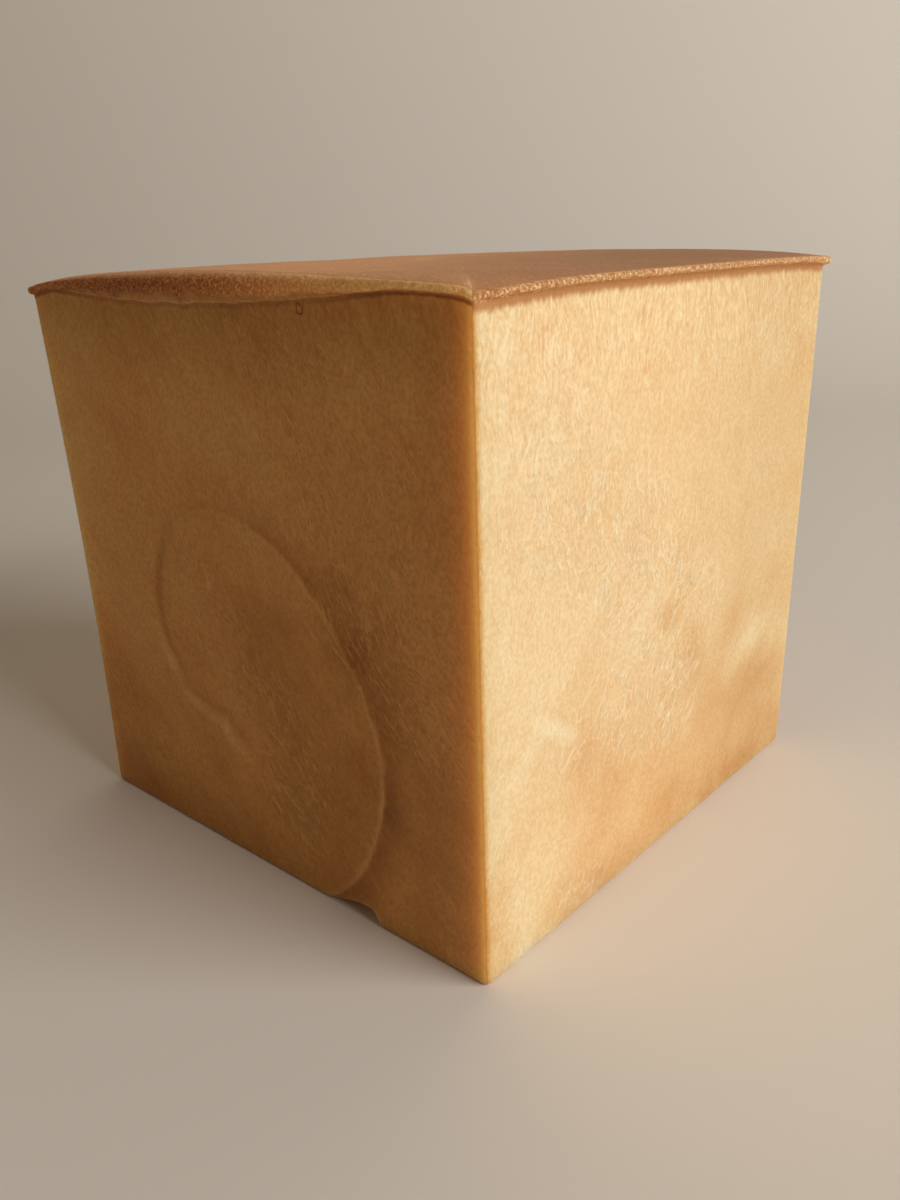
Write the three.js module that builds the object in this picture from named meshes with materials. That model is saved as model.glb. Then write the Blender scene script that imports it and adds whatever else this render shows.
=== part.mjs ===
// Shokupan: a cube of Japanese milk bread, baked under a lid in a square tin.
// Millimetres, +Z up. The loaf stands on z = 0 with the middle of its box over the origin.
// Its dough was rolled up along X, so the -X and +X faces show the roll's ends as a low spiral.
// Dough pressed between tin and lid has baked into a thin fin round the top. On the -X face it
// is thick and folded down, elsewhere it stands out from the wall like a narrow shelf.

import * as THREE from 'three';
import { mergeVertices } from 'three/addons/utils/BufferGeometryUtils.js';

// The block of bread, without its fin
const LENGTH_X = 118.0;
const LENGTH_Y = 118.5;
const TAPER_HEIGHT = 117.7;
const TIN_DRAFT = 1.2; // how far each wall has leaned out at the taper height
const UPRIGHT_RADIUS = 2.0;
const UNDER_RADIUS = 1.2;
const WALL_DISH = 1.0; // how far the middle of a wall has sunk in
const RIPPLE = 0.18; // depth of the slow waves in the walls
const CROWN_HEIGHT = 121.4; // middle of the top face
const CROWN_SWELL = 0.2;
const CROWN_POWER = 4; // how late the top face turns down to its edge

// The fin round the top
const FIN_THICKNESS = 1.1;
const FIN_CORNER_RADIUS = 0.8;
const FIN_ROUNDING = 0.4;
const FIN_FILLET = 0.25; // share of the fin's reach that is the fillet under it
const FILLET_HEIGHT = 1.1;
const WALL_HEAD = 3; // the wall ends this far below the fin's edge
const TIP_LENGTH = 6; // how far along a side a corner's tip reaches
const FOLD_ROUGHNESS = 0.3;
const SHELF_WIDTH = 1.8; // from the fin's edge in to where the top face begins

// The roll's end: a spiral about a centre measured from the -Y face and from the base
const ROLL_CENTRE = [63.4, 42.8];
const ROLL_RADIUS = 25.5;
const ROLL_GROWTH = 4.7; // per radian
const ROLL_OVAL = 3.7;
const ROLL_OVAL_TURN = 0.97;
const ROLL_START = -1.5; // radians, at the inner end
const ROLL_END = 4.15;
const ROLL_TURNOVER = 0.45; // past this turn the inside stands proud, before it the outside
const ROLL_STEP = 0.9; // how proud the roll's edge stands
const ROLL_INSIDE_FADE = 14;
const ROLL_OUTSIDE_FADE = 5;
const ROLL_FLOOR = 3; // lower down the cells keep to the loaf's lower edge
const HALF_CELL = 0.56; // share of a cell, a little over half so that no crossing is missed

// The gap in the lower edge of the -X face, where the dough did not fill the tin
const GAP_FROM = 26.5; // from the -Y face
const GAP_CREST = 29.5;
const GAP_TO = 43;
const GAP_HEIGHT = 2.3;
const GAP_DEPTH = 9;
const GAP_RUN = 0.5; // share of the half length over which the underside is drawn in behind it

// Cells along each edge of the block, and rows up each wall
const CELLS_X = 20;
const CELLS_Y = 34;
const UNDER_ROWS = 3;
const WALL_ROWS = 27;
const FIN_ROWS = 6;
const ROWS = UNDER_ROWS + WALL_ROWS + FIN_ROWS;

// Corners in order round the loaf, seen from above: front left, front right, back right, back
// left. A corner's tip is how much further out its fin stands, and its sag how much deeper the
// fin's edge hangs. Its foot, belly and lean move the upright edge out at the base, in at half
// height and in at the top.
const CORNERS = [
  { finTop: 118.3, tip: -1.1, sag: 0.0, foot: 0.45, belly: 0.0, lean: 0.0 },
  { finTop: 119.0, tip: -0.4, sag: 0.7, foot: 0.6, belly: 0.0, lean: 0.6 },
  { finTop: 119.8, tip: 0.4, sag: 0.3, foot: 0.5, belly: 0.5, lean: 0.0 },
  { finTop: 118.5, tip: 0.5, sag: 0.2, foot: 0.75, belly: 0.8, lean: 0.0 },
];

// Sides in the same order, each from its own corner to the next one: -Y, +X, +Y, -X.
// The fin's top falls to the corners with the power given as its arc. A fold starts and ends at
// distances along its side and is deepest at its peak.
const SIDES = [
  { finTop: 119.5, arc: 4, reach: 2.2, fold: null },
  { finTop: 121.25, arc: 1.6, reach: 2.0, fold: null },
  { finTop: 120.2, arc: 3, reach: 2.0, fold: { depth: 1.4, from: 38, peak: 66, to: 100 } },
  { finTop: 121.7, arc: 3, reach: 2.2, fold: { depth: 4.8, from: -2, peak: 46, to: 107 } },
];

function clamp(value, low, high) {
  return Math.min(Math.max(value, low), high);
}

function smooth(value) {
  const t = clamp(value, 0, 1);
  return t * t * (3 - 2 * t);
}

function mix(from, to, share) {
  return from + (to - from) * share;
}

function sideLength(side) {
  return side % 2 === 0 ? LENGTH_X : LENGTH_Y;
}

// A corner's value blended along a side, where w runs from -1 to 1
function betweenCorners(side, w, key) {
  return mix(CORNERS[side][key], CORNERS[(side + 1) % 4][key], (w + 1) / 2);
}

function nearestCorner(side, w) {
  return CORNERS[w < 0 ? side : (side + 1) % 4];
}

function foldDepth(side, w) {
  const fold = SIDES[side].fold;
  if (!fold) {
    return 0;
  }
  const along = ((w + 1) / 2) * sideLength(side);
  const span = along < fold.peak ? fold.peak - fold.from : fold.to - fold.peak;
  return fold.depth * Math.max(0, 1 - ((along - fold.peak) / span) ** 2);
}

function finTop(side, w) {
  const { finTop: middle, arc } = SIDES[side];
  return middle - (middle - nearestCorner(side, w).finTop) * Math.abs(w) ** arc;
}

// A corner's value that dies away along its sides
function nearCorner(side, w, key) {
  const distance = ((1 - Math.abs(w)) / 2) * sideLength(side);
  return nearestCorner(side, w)[key] * Math.exp(-distance / TIP_LENGTH);
}

// Height of the gap under the -X face at a distance from the -Y face: steep near the front,
// running out slowly towards the back
function gapHeight(side, w) {
  if (side !== 3) {
    return 0;
  }
  const along = ((1 - w) / 2) * LENGTH_Y;
  const rise = smooth((along - GAP_FROM) / (0.5 * (GAP_CREST - GAP_FROM)));
  const fall = 1 - smooth((along - GAP_CREST) / (GAP_TO - GAP_CREST));
  return GAP_HEIGHT * rise * fall;
}

// How far the gap has drawn the underside's edge in
function gapOpening(side, w) {
  return GAP_DEPTH * (gapHeight(side, w) / GAP_HEIGHT);
}

// Distance of a point on the roll's end from the spiral's line, positive outside it, with the
// turn there and the direction away from the centre
function rollLine(along, up) {
  const across = along - ROLL_CENTRE[0];
  const above = up - ROLL_CENTRE[1];
  const radius = Math.hypot(across, above) || 1;
  let turn = Math.atan2(above, across);
  if (turn < ROLL_START) {
    turn += 2 * Math.PI;
  }
  const line = ROLL_RADIUS + ROLL_GROWTH * turn + ROLL_OVAL * Math.cos(2 * (turn - ROLL_OVAL_TURN));
  return { turn, distance: radius - line, direction: [across / radius, above / radius] };
}

// The roll's edge stands proud above and to the front. Low down at the back the outer layer
// stands over the inner one instead.
function rollRelief(along, up) {
  const { turn, distance } = rollLine(along, up);
  const present = smooth((turn - ROLL_START) / 0.5) * smooth((ROLL_END - turn) / 0.35 + 1);
  const innerProud = present * smooth((turn - ROLL_TURNOVER) / 0.8);
  const outerProud = present * (1 - smooth((turn - ROLL_TURNOVER) / 0.6 + 0.6));
  if (distance <= 0.01) {
    return ROLL_STEP * (innerProud - 0.45 * outerProud) * Math.exp(distance / ROLL_INSIDE_FADE);
  }
  return ROLL_STEP * (outerProud - 0.3 * innerProud) * Math.exp(-distance / ROLL_OUTSIDE_FADE);
}

function hasRollEnd(side) {
  return side % 2 === 1;
}

// Distance along the roll's end from the -Y face
function alongRoll(side, w) {
  return ((side === 3 ? 1 - w : 1 + w) / 2) * LENGTH_Y;
}

function wallRipple(side, along, up) {
  const broad = Math.sin(along / 9.1 + 1.7 * side + 0.05 * up) * Math.sin(up / 12.3 + 2.1 * side);
  return RIPPLE * (broad + 0.5 * Math.sin(along / 5.3 - up / 7.7 + side));
}

// Relief of a wall, which dies out towards its four edges
function wallRelief(side, w, up) {
  const along = hasRollEnd(side) ? alongRoll(side, w) : ((w + 1) / 2) * LENGTH_X;
  const roll = hasRollEnd(side) ? rollRelief(along, up) : 0;
  const inside = smooth((1 - Math.abs(w)) * 8) * smooth(up / 8) * smooth((TAPER_HEIGHT - up) / 8);
  return (roll + wallRipple(side, along, up)) * inside;
}

// How far a wall stands out from the tin's straight line at a height
function wallOffset(side, w, up) {
  const share = clamp(up / TAPER_HEIGHT, 0, 1);
  const bow = Math.sin(Math.PI * share);
  const edge = betweenCorners(side, w, 'foot')
    - betweenCorners(side, w, 'belly') * bow
    - betweenCorners(side, w, 'lean') * share * share;
  return edge - WALL_DISH * bow * (1 - w * w) + wallRelief(side, w, up);
}

// The lower edge, from the underside out to the wall, opened by the gap where there is one
function underPoints(side, w) {
  const gap = gapHeight(side, w);
  const points = [];
  for (let row = 0; row <= UNDER_ROWS; row += 1) {
    const share = row / UNDER_ROWS;
    const angle = (Math.PI / 2) * share;
    const opening = gapOpening(side, w) * (1 - share) ** 2;
    const up = UNDER_RADIUS * (1 - Math.cos(angle)) + gap * Math.min(1, 1.6 * share);
    points.push({ out: wallOffset(side, w, up) - UNDER_RADIUS * (1 - Math.sin(angle)) - opening, up });
  }
  return points;
}

function wallPoints(side, w, foot, head) {
  const points = [];
  for (let row = 1; row <= WALL_ROWS; row += 1) {
    const up = mix(foot, head, row / WALL_ROWS);
    points.push({ out: wallOffset(side, w, up), up });
  }
  return points;
}

// The fin: its fillet on the wall, its root, the rounded edge and the top face's own edge
function finPoints(side, w, wall, lip, depth) {
  const reach = SIDES[side].reach + nearCorner(side, w, 'tip');
  const folded = Math.min(1, foldDepth(side, w) / 2);
  const crag = FOLD_ROUGHNESS * folded * Math.sin(23 * w + side) * Math.cos(41 * w);
  const root = Math.max(FIN_FILLET * reach, mix(wall, FIN_FILLET * reach, 0.8));
  const top = lip + depth;
  return [
    { out: mix(wall, root, 0.4), up: lip - FILLET_HEIGHT },
    { out: root, up: lip + 0.2 },
    { out: reach - FIN_ROUNDING + crag, up: lip + 0.06 * depth },
    { out: reach + crag, up: lip + 0.5 * depth },
    { out: reach - FIN_ROUNDING, up: top - 0.12 * depth },
    { out: reach - SHELF_WIDTH, up: top + 0.05 },
  ];
}

// One upright section through the loaf's side at w, from the underside to the top face's edge,
// as distances out from the tin's straight wall and heights
function section(side, w) {
  const depth = FIN_THICKNESS + foldDepth(side, w) + nearCorner(side, w, 'sag');
  const lip = finTop(side, w) - depth;
  const head = lip - WALL_HEAD;
  return [
    ...underPoints(side, w),
    ...wallPoints(side, w, UNDER_RADIUS + gapHeight(side, w), head),
    ...finPoints(side, w, wallOffset(side, w, head), lip, depth),
  ];
}

// Point of a rounded rectangle that stands a distance out from its straight sides
function onOutline(x, y, halfX, halfY, radius, out) {
  const insideX = clamp(x, radius - halfX, halfX - radius);
  const insideY = clamp(y, radius - halfY, halfY - radius);
  const length = Math.hypot(x - insideX, y - insideY);
  const away = (radius + out) / length;
  return [insideX + (x - insideX) * away, insideY + (y - insideY) * away];
}

// Cells are closer together near the block's edges
function spread(t) {
  return 0.4 * t + 0.6 * Math.sin((Math.PI / 2) * t);
}

// About as wide as spread makes a cell of the roll's end
function cellWidth(w) {
  return (LENGTH_Y / CELLS_Y) * (1.35 - 0.45 * Math.abs(w));
}

// The side that a point of the square's outline belongs to, and its place along it
function sideOf(a, b) {
  const ring = Math.max(Math.abs(a), Math.abs(b));
  if (b === -ring) {
    return { side: 0, w: a / ring };
  }
  if (a === ring) {
    return { side: 1, w: b / ring };
  }
  if (b === ring) {
    return { side: 2, w: -a / ring };
  }
  return { side: 3, w: -b / ring };
}

// A section's point at (a, b) of the square's outline, on the tin's outline at its height
function outlinePoint(a, b, point, radius) {
  const lean = (TIN_DRAFT * point.up) / TAPER_HEIGHT;
  const halfX = LENGTH_X / 2 + lean;
  const halfY = LENGTH_Y / 2 + lean;
  return onOutline(a * halfX, b * halfY, halfX, halfY, radius, point.out);
}

// Draws a wall point of the roll's end onto the spiral's line where it lies within half a cell
function snapToRoll(side, w, up) {
  const along = alongRoll(side, w);
  const { turn, distance, direction } = rollLine(along, up);
  const acrossCell = Math.abs(rollLine(along + cellWidth(w), up).distance - distance);
  const upCell = Math.abs(rollLine(along, up + TAPER_HEIGHT / WALL_ROWS).distance - distance);
  const near = HALF_CELL * Math.max(acrossCell, upCell);
  if (up < ROLL_FLOOR || turn > ROLL_END || Math.abs(distance) > near) {
    return { w, up, onLine: false };
  }
  const moved = along - distance * direction[0];
  const share = (2 * moved) / LENGTH_Y - 1;
  return { w: side === 3 ? -share : share, up: up - distance * direction[1], onLine: true };
}

function wallPoint(a, b, row) {
  const { side, w } = sideOf(a, b);
  const point = section(side, w)[row];
  const isWall = row > UNDER_ROWS && row < ROWS - FIN_ROWS;
  if (isWall && hasRollEnd(side)) {
    const snapped = snapToRoll(side, w, point.up);
    const facing = side === 3 ? -1 : 1;
    const moved = { out: wallOffset(side, snapped.w, snapped.up), up: snapped.up };
    const [x, y] = outlinePoint(facing, facing * snapped.w, moved, UPRIGHT_RADIUS);
    return [x, y, moved.up, snapped.onLine];
  }
  const sharpening = smooth((row - (ROWS - FIN_ROWS)) / 3);
  const radius = mix(UPRIGHT_RADIUS, FIN_CORNER_RADIUS, sharpening);
  const [x, y] = outlinePoint(a, b, point, radius);
  return [x, y, point.up];
}

// The underside is made of smaller copies of its outline, drawn in where the gap is
function undersidePoint(a, b) {
  const ring = Math.max(Math.abs(a), Math.abs(b));
  if (ring === 0) {
    return [0, 0, 0];
  }
  const { side, w } = sideOf(a / ring, b / ring);
  const edge = { out: wallOffset(side, w, 0) - UNDER_RADIUS, up: 0 };
  const [x, y] = outlinePoint(a / ring, b / ring, edge, UPRIGHT_RADIUS);
  const drawnIn = gapOpening(3, -b) * smooth(1 - (1 + a) / GAP_RUN);
  return [x * ring + drawnIn, y * ring, 0];
}

// The top face rises from its edge to the crown in smaller copies of its outline
function topPoint(a, b) {
  const ring = Math.max(Math.abs(a), Math.abs(b));
  if (ring === 0) {
    return [0, 0, CROWN_HEIGHT];
  }
  const [x, y, edge] = wallPoint(a / ring, b / ring, ROWS);
  const wave = Math.sin(x / 11 + 1) * Math.cos(y / 14) * smooth((1 - ring) * 4);
  return [x * ring, y * ring, mix(CROWN_HEIGHT, edge, ring ** CROWN_POWER) + CROWN_SWELL * wave];
}

function loafPoint(a, b, row) {
  if (row === 0) {
    return undersidePoint(a, b);
  }
  const onWall = Math.max(Math.abs(a), Math.abs(b)) > 0.9999;
  return onWall ? wallPoint(a, b, row) : topPoint(a, b);
}

// Each cell is two triangles on four corners in turn, cut from the second to the fourth. Where
// points of the spiral's line make the other cut the one that follows the line, it is turned.
function alignCells(geometry, onLine) {
  const { index } = geometry;
  const isOnLine = (vertex) => (onLine.has(vertex) ? 1 : 0);
  for (let cell = 0; cell < index.count; cell += 6) {
    const [first, second, fourth] = [0, 1, 2].map((step) => index.getX(cell + step));
    const third = index.getX(cell + 4);
    const otherCut = isOnLine(first) + isOnLine(third);
    const ownCut = isOnLine(second) + isOnLine(fourth);
    if ((otherCut === 2 && ownCut < 2) || (otherCut === 0 && ownCut === 1)) {
      [first, second, third, first, third, fourth].forEach((vertex, step) => {
        index.setX(cell + step, vertex);
      });
    }
  }
}

function loafGeometry() {
  const block = new THREE.BoxGeometry(2, 2, 2, CELLS_X, CELLS_Y, ROWS);
  block.deleteAttribute('normal');
  block.deleteAttribute('uv');
  const geometry = mergeVertices(block);
  const position = geometry.attributes.position;
  const onLine = new Set();
  for (let index = 0; index < position.count; index += 1) {
    const a = spread(position.getX(index));
    const b = spread(position.getY(index));
    const row = Math.round(((position.getZ(index) + 1) / 2) * ROWS);
    const [x, y, z, snapped] = loafPoint(a, b, row);
    position.setXYZ(index, x, y, z);
    if (snapped) {
      onLine.add(index);
    }
  }
  alignCells(geometry, onLine);
  geometry.computeBoundingBox();
  geometry.computeVertexNormals();
  return geometry;
}

function bakedCrust() {
  return new THREE.MeshStandardMaterial({ color: 0xd8a668, roughness: 0.72, metalness: 0 });
}

const loaf = new THREE.Mesh(loafGeometry(), bakedCrust());
const { min, max } = loaf.geometry.boundingBox;
loaf.position.set(-(min.x + max.x) / 2, -(min.y + max.y) / 2, 0);
loaf.name = 'shokupan_loaf';

const shokupan = new THREE.Group();
shokupan.add(loaf);

export default shokupan;
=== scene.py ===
"""The looks of a shokupan: a cube of milk bread, baked under a lid in a square tin.

The loaf is one closed piece, shaped from a cube whose cells are laid out finely enough for the
roll's spiral end, the fin of crust round the top and the gap in the lower edge. Its crust is one
procedural material. A pale floor, soft studio light and the camera stand round it.

Sizes of the loaf are in millimetres and are turned into metres when its points are placed.
"""

import math

import bmesh
import bpy
from mathutils import Matrix, Vector, noise


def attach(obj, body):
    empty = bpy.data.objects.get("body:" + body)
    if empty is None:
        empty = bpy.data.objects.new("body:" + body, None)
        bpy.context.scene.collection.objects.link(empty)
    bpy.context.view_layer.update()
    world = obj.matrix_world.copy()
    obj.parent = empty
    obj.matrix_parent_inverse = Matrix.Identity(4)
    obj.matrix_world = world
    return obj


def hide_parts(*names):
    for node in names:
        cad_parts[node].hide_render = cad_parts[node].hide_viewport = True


MM = 0.001

# The block of bread, without its fin
LENGTH_X = 118.0
LENGTH_Y = 118.5
TAPER_HEIGHT = 117.7
TIN_DRAFT = 1.2  # how far each wall has leaned out at the taper height
UPRIGHT_RADIUS = 0.9
UNDER_RADIUS = 1.2
WALL_DISH = 1.0  # how far the middle of a wall has sunk in
RIPPLE = 0.18  # how high the low waves in a wall are
BROAD_WAVES = (9.1, 12.3)  # millimetres for each radian of a wave, along and up
SMALL_WAVES = (5.3, 7.7)
WRINKLES = 0.07  # how high the skin's wrinkles are
WRINKLE_SIZE = 3.5
RELIEF_FADE = 8.0  # over how much of a wall's height its relief dies out at the foot and head
CROWN_HEIGHT = 121.4
CROWN_SWELL = 0.2
CROWN_POWER = 4  # how late the top face turns down to its edge
EDGE_POWER = 16  # how late it meets the fin where the fin stands higher or lower
TOP_GRAIN = 0.05
MIDDLE = (0.148, -0.053)  # of the base, from the middle of the whole loaf

# The fin round the top
FIN_THICKNESS = 1.1
FIN_CORNER_RADIUS = 0.8
FILLET_DROP = 0.7  # how far below the fin the wall begins to turn out
FILLET_BULGE = 0.1
WALL_HEAD = 3.0  # the wall ends this far below the fin's edge
TIP_LENGTH = 6.0  # how far along a side a corner's tip reaches
SHELF_WIDTH = 1.8  # from the fin's edge in to where the top face begins
LIP_UNDER = 1.3  # how far in the fin's edge is rounded below its widest place
LIP_OVER = 4.0  # and above it
UNDER_SHARE = 0.5  # and at most these shares of the fin's depth
OVER_SHARE = 0.68
SHELF_ROOM = 0.8  # least width left for the shelf inside the rounded edge
SHELF_RISE = 0.05
LIFT_LENGTH = 1.5  # how far from a corner the fin has risen beside it
FOLD_WAVES = 0.1  # how unevenly deep the fin is folded down
FOLD_WAVE_SIZE = 5.0
FINE_CRAGS = 0.12  # how rough the fin is
COARSE_CRAGS = 0.26  # and where it is folded down
PINCH_PLACE = 1.5  # from a corner to the pinch in the fin
PINCH_WIDTH = 0.8
PINCH_DEPTH = 0.7

# The roll's end: a spiral about a centre measured from the -Y face and from the base
ROLL_CENTRE = (63.4, 42.8)
ROLL_RADIUS = 25.5
ROLL_GROWTH = 4.7  # per radian
ROLL_OVAL = 3.7
ROLL_OVAL_TURN = 0.97
ROLL_START = -1.75  # radians, at the inner end
ROLL_END = 4.15
ROLL_INSIDE_FADE = 14.0
ROLL_OUTSIDE_FADE = 5.0
ROLL_FLOOR = 3.0
CRISP_FROM = 0.3  # the spiral's line is soft before this turn
NEAR_LINE = 0.48  # of a cell: points nearer to the line are drawn onto it

# The gap in the lower edge of the -X face, where the dough did not fill the tin
GAP_FROM = 26.5
GAP_CREST = 29.5
GAP_TO = 43.0
GAP_HEIGHT = 2.3
GAP_DEPTH = 9.0
GAP_RUN = 0.5  # how far the gap reaches in under the loaf, as a share of half its width

# Corners in order round the loaf, seen from above: front left, front right, back right, back left.
# The fin's height, how much further out than its sides it stands and how much deeper it is, and
# how far the walls stand out at the foot, have sunk in halfway up and lean in at the top.
CORNERS = (
    {"fin_top": 118.3, "tip": -1.1, "sag": 0.0, "foot": 0.45, "belly": 0.0, "lean": 0.0},
    {"fin_top": 119.0, "tip": -0.4, "sag": 0.7, "foot": 0.6, "belly": 0.0, "lean": 0.6},
    {"fin_top": 119.8, "tip": 0.4, "sag": 0.3, "foot": 0.5, "belly": 0.5, "lean": 0.0},
    {"fin_top": 118.5, "tip": -0.3, "sag": 0.7, "foot": 0.75, "belly": 0.8, "lean": 0.0},
)

# Where the fin is folded down on two sides: how deep, and along the side from where, where
# deepest and up to where
BACK_FOLD = (1.4, 38.0, 66.0, 100.0)
LEFT_FOLD = (4.3, 8.0, 50.0, 105.0)

# Sides in the same order, each from its own corner to the next one: -Y, +X, +Y, -X. The fin's
# height halfway, how late it falls to its first and its last corner, how much it rises beside
# the last one, how far it stands out and where it is folded down.
FRONT, RIGHT, BACK, LEFT = range(4)
SIDES = (
    {"fin_top": 119.5, "arcs": (4.0, 4.0), "lift": 0.0, "reach": 2.2, "fold": None},
    {"fin_top": 121.25, "arcs": (1.6, 1.6), "lift": 0.0, "reach": 2.0, "fold": None},
    {"fin_top": 120.2, "arcs": (3.0, 3.0), "lift": 0.0, "reach": 2.0, "fold": BACK_FOLD},
    {"fin_top": 121.3, "arcs": (3.0, 1.5), "lift": 1.0, "reach": 2.2, "fold": LEFT_FOLD},
)

# Where the roll's skin stands along the spiral: its line is ragged, and draws in at both ends
TAIL_DRAW = 1.5  # how far the line draws in towards its outer end
TIP_TURN = -1.0  # where it draws in near its inner end
TIP_WIDTH = 0.35
TIP_DRAW = 2.2
LOBE_TURN = 0.45  # of one jagged lobe near the inner end
LOBE_DEPTH = 0.35
RAGGED = 0.3
SKIN_STEP = 0.38  # how far the inside stands proud past the top of the spiral
SKIN_VALLEY = 0.3
CREASE_DEPTH = 0.3
CREASE_WIDTH = 1.6
RIDGE_HEIGHT = 0.65  # of the ridge outside the inner end
RIDGE_INNER_PLACE = -2.2  # of its steep side, outside the spiral's line, at the inner end
RIDGE_OUTER_PLACE = 1.6  # and where it runs out
RIDGE_RISE = 2.4  # how wide the steep side is

# Turns at which something starts or ends along the spiral, and over how much of a turn
SPIRAL_STARTS = (ROLL_START, 0.4)
SPIRAL_ENDS = (ROLL_END, 0.35)
LOBES_END = (-0.2, 0.3)
LINE_DRAWS_IN = (3.2, 0.5)
INSIDE_STARTS_PROUD = (0.6, 0.6)
INSIDE_GROWS_PROUDER = (1.3, 0.9)
CREASE_STARTS = (-0.1, 0.3)
CREASE_WEAKENS = (0.6, 0.5)
CREASE_ENDS = (1.7, 0.5)
RIDGE_MOVES_OUT = (-1.1, 0.8)
RIDGE_ENDS = (-0.15, 0.4)
VALLEY_SHADE_DEEPENS = (3.0, 0.4)

# Patches on the -Y face: start and end measured from the left and from the base, width and how
# much browner they are, or paler below 0
FRONT_PATCHES = (
    ((14.6, 46.5), (26.0, 39.0), 3.0, -0.6),
    ((88.0, 34.0), (98.0, 37.0), 8.0, -0.3),
    ((98.0, 37.0), (116.0, 30.0), 9.0, -0.4),
    ((0.0, 16.0), (0.0, 0.0), 10.0, 0.5),
    ((24.0, 1.0), (118.0, 1.0), 16.0, 0.6),
    ((53.0, 51.5), (62.0, 52.5), 6.0, 0.45),
    ((69.0, 45.0), (72.5, 36.0), 7.0, 0.3),
    ((54.0, 20.0), (64.0, 10.0), 13.0, 0.3),
    ((31.0, 33.0), (40.0, 22.0), 11.0, 0.35),
    ((80.0, 24.0), (110.0, 22.0), 12.0, 0.25),
)

# And on the -X face, from its near edge
END_PATCHES = (
    ((114.0, 34.0), (106.0, 8.0), 26.0, 0.4),
    ((112.0, 3.0), (56.0, 3.0), 10.0, 0.45),
    ((42.0, 16.0), (33.0, 5.0), 9.0, 0.5),
    ((24.0, 56.0), (8.0, 8.0), 18.0, 0.6),
    ((50.0, 54.0), (46.0, 24.0), 18.0, 0.45),
    ((29.0, 66.0), (32.0, 22.0), 14.0, 0.6),
    ((72.0, 74.0), (60.0, 50.0), 16.0, 0.35),
    ((112.0, 100.0), (110.0, 50.0), 26.0, -0.5),
    ((70.0, 96.0), (52.0, 90.0), 16.0, -0.3),
)

# Where curls and light stretch marks lie on these faces: the same measures, and how thickly
FRONT_MARKS = (
    ((20.0, 86.0), (60.0, 56.0), 40.0, 0.9),
    ((22.0, 40.0), (62.0, 30.0), 20.0, 0.7),
    ((24.0, 8.0), (34.0, 4.0), 9.0, 0.7),
)
END_MARKS = (
    ((56.0, 24.0), (46.0, 12.0), 8.0, 1.0),
    ((26.0, 100.0), (12.0, 50.0), 22.0, 1.2),
    ((50.0, 110.0), (30.0, 64.0), 26.0, 0.8),
    ((84.0, 64.0), (50.0, 26.0), 26.0, 0.9),
    ((112.0, 28.0), (90.0, 14.0), 14.0, 0.5),
)

BUBBLE = (-60.5, -24.8, 115.5)  # a small burst bubble, from the middle of the base

# Where else the crust is browner or paler, or its strands show: from where and over how many
# millimetres
LOW_DOWN = (10.0, 50.0)
OFF_THE_EDGE = (5.0, 30.0)
FRONT_BROWNER = (45.0, 60.0)
FRONT_PALER = (0.0, 50.0)
STRANDS_HIGH_UP = (80.0, 35.0)
STRANDS_BY_EDGE = (0.0, 24.0)
END_STRANDS = 1.8  # how much more they show on the roll's ends
LOW_BROWNING = 0.32  # how much browner it is low down
FRONT_LOW_BROWNING = 0.35
FRONT_BROWNING = 0.22  # and across the -Y face
HIDDEN_BROWNING = 0.3  # how uneven the sides are that have no patches, and the size of that
HIDDEN_CLOUD = 24.0
PATCH_GRAIN = 0.7  # how uneven the patches are, and the size of that
PATCH_GRAIN_SIZE = 7.0
FOLD_SHOWS = 2.5  # the fin has the looks of a lip where it is folded down this far
EDGE_GLOW_REACH = 2.0  # how far from the near edge the ends have a painted glow
EDGE_PALE_REACH = 3.0  # and how far the other sides are paler

# What paint() notes at each of the loaf's points for its crust
PAINTED = (
    "below_fin",
    "band",
    "lip_edge",
    "fin_crest",
    "on_fin",
    "on_top",
    "on_end",
    "browning",
    "marks",
    "strands",
    "near_edge",
    "outside_roll",
    "outside_ridge",
    "crease",
    "valley",
    "ridge",
)

# Cells along each edge of the block and rows up each wall. The outermost cells are narrow, for
# the block's upright edges.
CELLS_X = 112
CELLS_Y = 118
NARROW_FROM = 0.93  # the cube's cells beyond this share of half a side
NARROW_PLACE = 0.98  # lie beyond this share on the loaf
ON_EDGE = 0.9999  # beyond this a place of the cube is on its wall
NO_LENGTH = 1e-6
UNDER_ROWS = 5
WALL_ROWS = 98
FILLET_ROWS = 6
EDGE_ROWS = 10
SHELF_ROWS = 3
HEAD_ROW = UNDER_ROWS + WALL_ROWS  # where the fin's underside begins
LIP_ROW = HEAD_ROW + FILLET_ROWS
SHELF_ROW = LIP_ROW + EDGE_ROWS
ROWS = SHELF_ROW + SHELF_ROWS

# The crust's patterns: how large their lumps are in millimetres, their detail and roughness
PATTERNS = {
    "drift": ((17, 17, 17), 2, 0.5),
    "curl": ((4.5, 4.5, 4.5), 1, 0.5),
    "clouds": ((26, 26, 22), 3, 0.5),
    "blotches": ((13, 13, 19), 3, 0.55),
    "fibres": ((3, 3, 8), 4, 0.72),
    "hairs": ((0.55, 0.55, 3.5), 2, 0.6),
    "pores": ((0.7, 0.7, 0.9), 1, 0.5),
    "folds": ((6, 6, 9), 3, 0.6),
    "stretch marks": ((0.9, 0.9, 5.0), 2, 0.6),
    "specks": ((0.8, 0.8, 1.8), 1, 0.5),
    "drips": ((1.2, 1.2, 6.0), 2, 0.6),
    "crags": ((0.9, 0.9, 0.9), 2, 0.55),
    "crumbs": ((0.55, 0.55, 0.55), 2, 0.6),
    "top clouds": ((15, 15, 15), 3, 0.6),
}
DRIFT_REACH = 10.0  # how far patterns drift
CURL_REACH = 5.0  # and how far they curl
LEAN_BELOW = 60.0  # patterns on the -Y face lean to the right below this height
LEAN_RIGHT = 0.6
LEAN_BACK = 0.4  # and those on the roll's ends lean away from it
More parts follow.
